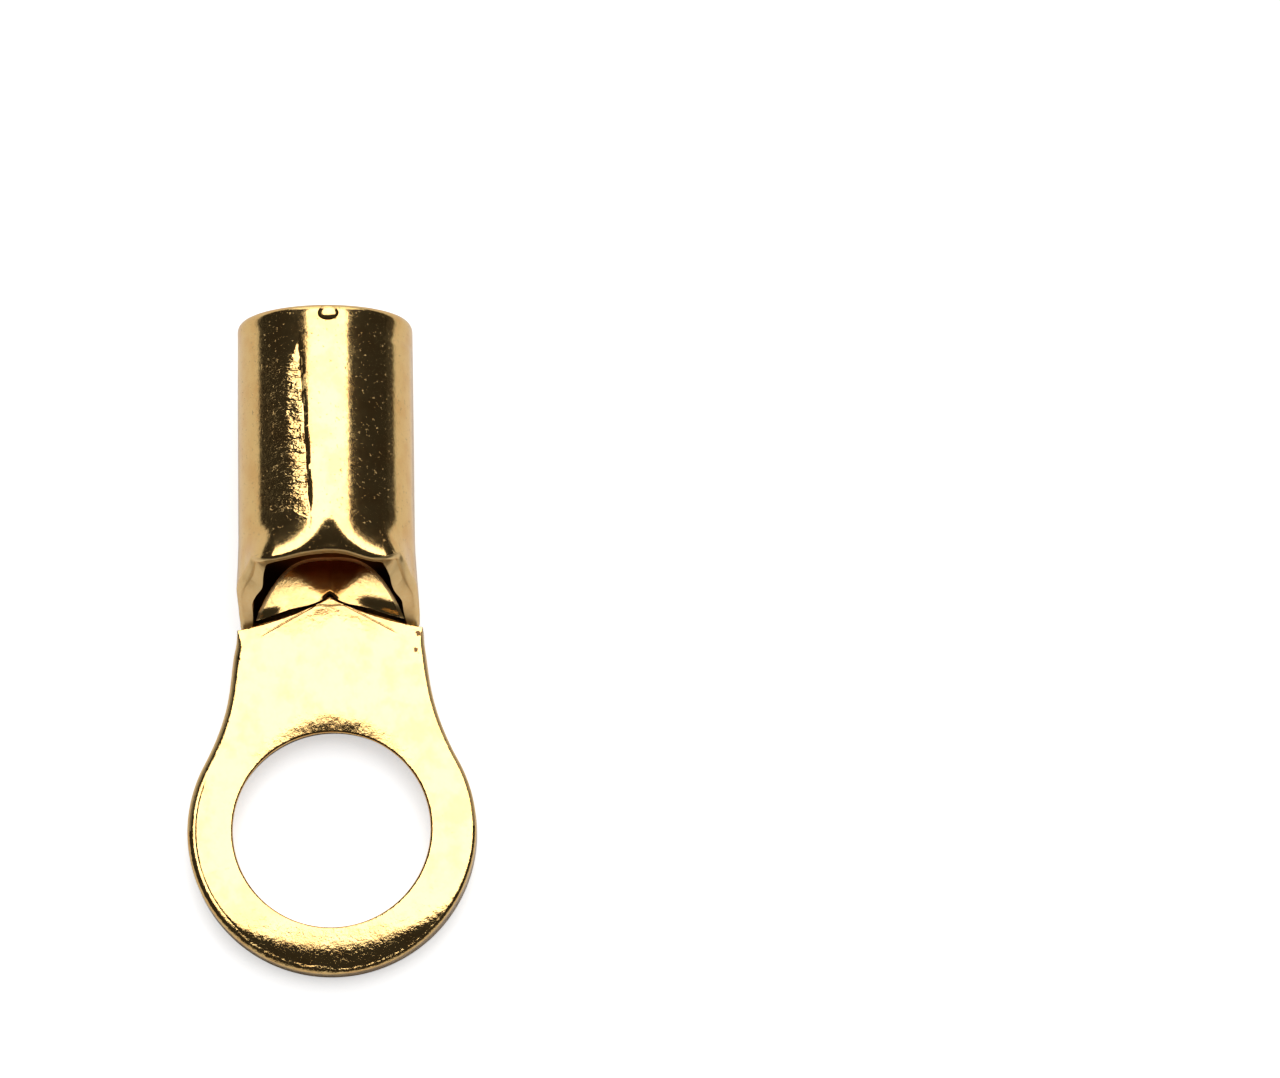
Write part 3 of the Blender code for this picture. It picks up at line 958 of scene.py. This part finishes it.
def barrel_gold():
    """The plating on the barrel: hammer ripples on the left, a scratch, pits all over."""
    finish = bpy.context.scene.terminal_finish
    nodes, mm, normal = gold_base("gold_barrel")
    shader = nodes.shader
    x, y, z = nodes.split(mm)

    # hammer ripples on the front, left of the long scratch
    front = nodes.ramp(z, 4.0, 4.8)
    scratch = nodes.math("MULTIPLY_ADD", y, SCRATCH_DRIFT, SCRATCH_START)
    from_scratch = nodes.math("SUBTRACT", x, scratch)
    left = nodes.math("MULTIPLY", nodes.ramp(x, -2.5, -1.4), nodes.ramp(from_scratch, 0.05, -0.20))
    left = nodes.math("MULTIPLY", left, front)
    reach = nodes.math("MULTIPLY", nodes.ramp(y, 20.0, 18.6), nodes.ramp(y, 11.9, 12.6))
    left = nodes.math("MULTIPLY", left, reach)
    ripple = nodes.noise(nodes.millimetres((1.2, 2.6, 1.2)), 1.15, 3.0, 0.6)
    normal = nodes.bump(nodes.math("MULTIPLY", ripple, left), finish.hammer_depth, normal)

    specks = nodes.noise(mm, 6.5, 3.0, 0.65)
    normal = nodes.bump(nodes.ramp(specks, 0.655, 0.72), 0.012 * MM, normal)

    # the scratch itself, a small step down to the left
    wobble = nodes.math("MULTIPLY_ADD", nodes.noise(mm, 1.1, 3.0), 0.30, -0.15)
    step = nodes.ramp(nodes.math("ADD", from_scratch, wobble), -0.05, 0.05)
    ends = nodes.math("MULTIPLY", nodes.ramp(y, 20.4, 20.0), nodes.ramp(y, 11.6, 13.2))
    step = nodes.math("MULTIPLY", step, nodes.math("MULTIPLY", ends, front))
    normal = nodes.bump(step, 0.035 * MM, normal)
    nodes.link(normal, shader.inputs["Normal"])

    polish = nodes.feeding("Roughness")
    nodes.link(nodes.math("MULTIPLY_ADD", left, 0.04, polish), shader.inputs["Roughness"])
    return nodes.material


def cut_gold():
    """The cut edge of the sheet, plated but not polished."""
    nodes, mm, normal = gold_base("gold_cut_edge")
    fine = nodes.noise(mm, 5.0, 3.0, 0.6)
    nodes.link(nodes.ramp(fine, 0.3, 0.7, 0.38, 0.46), nodes.shader.inputs["Roughness"])
    tone = nodes.mix_colour(fine, (1.0, 0.72, 0.34, 1.0), (0.97, 0.66, 0.28, 1.0))
    nodes.link(tone, nodes.shader.inputs["Base Color"])
    nodes.link(normal, nodes.shader.inputs["Normal"])
    return nodes.material


def crevice_shade_gold():
    """Metal deep in a crevice, its colour painted near black as shade."""
    nodes, mm, normal = gold_base("gold_crevice_shade")
    cloud = nodes.noise(mm, 2.0, 3.0, 0.6)
    tone = nodes.mix_colour(cloud, (0.10, 0.055, 0.02, 1.0), (0.05, 0.025, 0.01, 1.0))
    nodes.link(tone, nodes.shader.inputs["Base Color"])
    nodes.link(nodes.ramp(cloud, 0.3, 0.7, 0.5, 0.6), nodes.shader.inputs["Roughness"])
    nodes.link(normal, nodes.shader.inputs["Normal"])
    return nodes.material


def bead_gold():
    """The plain polished plating."""
    nodes, _, normal = gold_base("gold_bead")
    nodes.link(normal, nodes.shader.inputs["Normal"])
    return nodes.material


def bore_shade_gold():
    """Dull plating inside the bore, its colour painted dark brown as shade."""
    nodes, mm, normal = gold_base("gold_bore_shade")
    shader = nodes.shader
    cloud = nodes.noise(mm, 1.4, 3.0, 0.6)
    tone = nodes.mix_colour(cloud, (0.54, 0.26, 0.07, 1.0), (0.42, 0.19, 0.05, 1.0))
    nodes.link(tone, shader.inputs["Base Color"])
    nodes.link(nodes.ramp(cloud, 0.3, 0.7, 0.32, 0.42), shader.inputs["Roughness"])
    nodes.link(normal, shader.inputs["Normal"])
    return nodes.material


# operators

class TERMINAL_OT_barrel(bpy.types.Operator):
    """Builds the rolled barrel with its cut neck"""
    bl_idname = "terminal.barrel"
    bl_label = "Barrel"

    def execute(self, context):
        tube, rim_points = make_barrel()
        finish_piece(tube, barrel_gold())
        line_bore(tube, bore_shade_gold())
        dull_cut_edge(tube, rim_points, cut_gold())
        return {"FINISHED"}


class TERMINAL_OT_tongue(bpy.types.Operator):
    """Builds the flat ring tongue"""
    bl_idname = "terminal.tongue"
    bl_label = "Ring tongue"

    def execute(self, context):
        tongue = make_tongue()
        finish_piece(tongue, tongue_gold())
        shade_and_dull_tongue_edges(tongue)
        return {"FINISHED"}


class TERMINAL_OT_spoon(bpy.types.Operator):
    """Builds the pressed spoon at the foot of the bore"""
    bl_idname = "terminal.spoon"
    bl_label = "Spoon"

    def execute(self, context):
        spoon = make_spoon()
        finish_piece(spoon, spoon_gold())
        darken_crevices(spoon)
        return {"FINISHED"}


class TERMINAL_OT_seam_marks(bpy.types.Operator):
    """Builds the small bead at the wire end of the seam"""
    bl_idname = "terminal.seam_marks"
    bl_label = "Seam bead"

    def execute(self, context):
        finish_piece(make_bead(), bead_gold())
        return {"FINISHED"}


# stage, in metres

TABLE_SIZE = 4.0
TABLE_DROP = 0.03 * MM
TABLE_GLOW = 0.58
# painted shade on the table away from the terminal, seen only in the metal
FLOOR_SHADE = (0.06, 0.06, 0.06, 1.0)
PURE_WHITE = (1.0, 1.0, 1.0, 1.0)

PANEL_HEIGHT = 0.60
PANEL_LEFT = -0.23
PANEL_RIGHT = 0.37
PANEL_NEAR = -0.045
PANEL_FAR = 0.80

BACK_PANEL_WIDTH = 0.90
BACK_PANEL_HEIGHT = 0.55
BACK_PANEL_PLACE = (0.05, 0.80, 0.30)
BACK_PANEL_SHARE = 0.5

CAMERA_X = 12.26 * MM
CAMERA_Y = -51.40 * MM
CAMERA_TILT = radians(12.8)
CAMERA_TURN = radians(-1.1)


def make_table():
    """A pale table, white to the camera. In the metal only its part by the terminal is pale, a
    painted pool of light with painted shade beyond it.
    """
    stage = bpy.context.scene.terminal_stage
    bpy.ops.object.select_all(action="DESELECT")
    bpy.ops.mesh.primitive_plane_add(size=TABLE_SIZE, location=(0.0, 0.0, -TABLE_DROP))
    table = fresh("table")
    nodes = Nodes("table_white")
    shader = nodes.shader
    shader.inputs["Base Color"].default_value = stage.table
    shader.inputs["Roughness"].default_value = 0.9
    shader.inputs["Specular IOR Level"].default_value = 0.0
    table.data.materials.append(nodes.material)
    # to the camera: the table with its own shadows and a glow
    glow = nodes.add("ShaderNodeEmission")
    glow.inputs["Color"].default_value = PURE_WHITE
    glow.inputs["Strength"].default_value = TABLE_GLOW
    lit = nodes.add("ShaderNodeAddShader")
    nodes.link(shader.outputs[0], lit.inputs[0])
    nodes.link(glow.outputs[0], lit.inputs[1])
    # in the metal: a painted pool of light on the table by the terminal, fading to painted shade
    # away from it; distances in millimetres
    across = nodes.split(nodes.millimetres())[0]
    far = nodes.math("ADD", nodes.ramp(across, 22.0, 30.0), nodes.ramp(across, -70.0, -85.0))
    dark = nodes.add("ShaderNodeBsdfDiffuse")
    dark.inputs["Color"].default_value = FLOOR_SHADE
    pool = nodes.add("ShaderNodeMixShader")
    nodes.link(far, pool.inputs[0])
    nodes.link(shader.outputs[0], pool.inputs[1])
    nodes.link(dark.outputs[0], pool.inputs[2])
    path = nodes.add("ShaderNodeLightPath")
    mix = nodes.add("ShaderNodeMixShader")
    nodes.link(path.outputs["Is Camera Ray"], mix.inputs[0])
    nodes.link(pool.outputs[0], mix.inputs[1])
    nodes.link(lit.outputs[0], mix.inputs[2])
    nodes.link(mix.outputs[0], nodes.tree.nodes["Material Output"].inputs["Surface"])


def make_world():
    """White to the camera. The metal reflects a dark room, which gives the barrel its dark bands."""
    room = bpy.context.scene.terminal_stage.room
    world = bpy.data.worlds.new("studio")
    bpy.context.scene.world = world
    world.use_nodes = True
    tree = world.node_tree
    path = tree.nodes.new("ShaderNodeLightPath")
    mix = tree.nodes.new("ShaderNodeMix")
    mix.data_type = "RGBA"
    tree.links.new(path.outputs["Is Camera Ray"], mix.inputs[MIX_FACTOR])
    mix.inputs[MIX_FIRST].default_value = (room, room, room * 0.95, 1.0)
    mix.inputs[MIX_SECOND].default_value = PURE_WHITE
    tree.links.new(mix.outputs[MIX_RESULT], tree.nodes["Background"].inputs["Color"])


def add_panel(name, width, length, strength, place, tilt=0.0):
    """A soft rectangular light of even brightness, facing down unless it is tilted."""
    light = bpy.data.lights.new(name, "AREA")
    light.shape = "RECTANGLE"
    light.size = width
    light.size_y = length
    light.energy = strength * pi * width * length
    panel = bpy.data.objects.new(name, light)
    panel.location = place
    panel.rotation_euler = (tilt, 0.0, 0.0)
    bpy.context.scene.collection.objects.link(panel)


def make_panel_light():
    """The soft panel overhead, from just behind the camera's line to well past the wire end."""
    middle = ((PANEL_LEFT + PANEL_RIGHT) / 2.0, (PANEL_NEAR + PANEL_FAR) / 2.0, PANEL_HEIGHT)
    add_panel(
        "soft_panel", PANEL_RIGHT - PANEL_LEFT, PANEL_FAR - PANEL_NEAR,
        bpy.context.scene.terminal_stage.panel_strength, middle)


def make_back_light():
    """An upright panel past the wire end, which lights the rounded end of the barrel."""
    strength = BACK_PANEL_SHARE * bpy.context.scene.terminal_stage.panel_strength
    add_panel(
        "back_panel", BACK_PANEL_WIDTH, BACK_PANEL_HEIGHT, strength, BACK_PANEL_PLACE,
        tilt=radians(-90.0))


def make_camera():
    stage = bpy.context.scene.terminal_stage
    camera = bpy.data.cameras.new("camera")
    camera.lens = stage.lens
    camera.sensor_fit = "HORIZONTAL"
    camera.sensor_width = 36.0
    camera.clip_start = 0.01
    camera.clip_end = 10.0
    eye = bpy.data.objects.new("camera", camera)
    eye.location = (CAMERA_X, CAMERA_Y, stage.camera_height)
    eye.rotation_euler = (CAMERA_TILT, 0.0, CAMERA_TURN)
    bpy.context.scene.collection.objects.link(eye)
    bpy.context.scene.camera = eye


class TERMINAL_OT_stage(bpy.types.Operator):
    """Sets up the table, the soft panel, the room and the camera"""
    bl_idname = "terminal.stage"
    bl_label = "Stage"

    def execute(self, context):
        make_table()
        make_world()
        make_panel_light()
        make_back_light()
        make_camera()
        context.scene.view_settings.view_transform = "Standard"
        return {"FINISHED"}


class TERMINAL_PT_panel(bpy.types.Panel):
    bl_idname = "TERMINAL_PT_panel"
    bl_label = "Ring terminal"
    bl_space_type = "VIEW_3D"
    bl_region_type = "UI"
    bl_category = "Terminal"

    def draw(self, context):
        layout = self.layout
        scene = context.scene
        for group in (scene.terminal_sizes, scene.terminal_finish, scene.terminal_stage):
            part = layout.box()
            for name in group.__annotations__:
                part.prop(group, name)
        for operator in OPERATORS:
            layout.operator(operator.bl_idname)


GROUPS = (TerminalSizes, TerminalFinish, TerminalStage)
OPERATORS = (
    TERMINAL_OT_barrel,
    TERMINAL_OT_tongue,
    TERMINAL_OT_spoon,
    TERMINAL_OT_seam_marks,
    TERMINAL_OT_stage,
)


def register():
    for item in GROUPS + OPERATORS + (TERMINAL_PT_panel,):
        bpy.utils.register_class(item)
    bpy.types.Scene.terminal_sizes = PointerProperty(type=TerminalSizes)
    bpy.types.Scene.terminal_finish = PointerProperty(type=TerminalFinish)
    bpy.types.Scene.terminal_stage = PointerProperty(type=TerminalStage)


def unregister():
    del bpy.types.Scene.terminal_stage
    del bpy.types.Scene.terminal_finish
    del bpy.types.Scene.terminal_sizes
    for item in reversed(GROUPS + OPERATORS + (TERMINAL_PT_panel,)):
        bpy.utils.unregister_class(item)


def main():
    register()
    bpy.ops.terminal.barrel()
    bpy.ops.terminal.tongue()
    bpy.ops.terminal.spoon()
    bpy.ops.terminal.seam_marks()
    bpy.ops.terminal.stage()


if __name__ == "__main__":
    main()
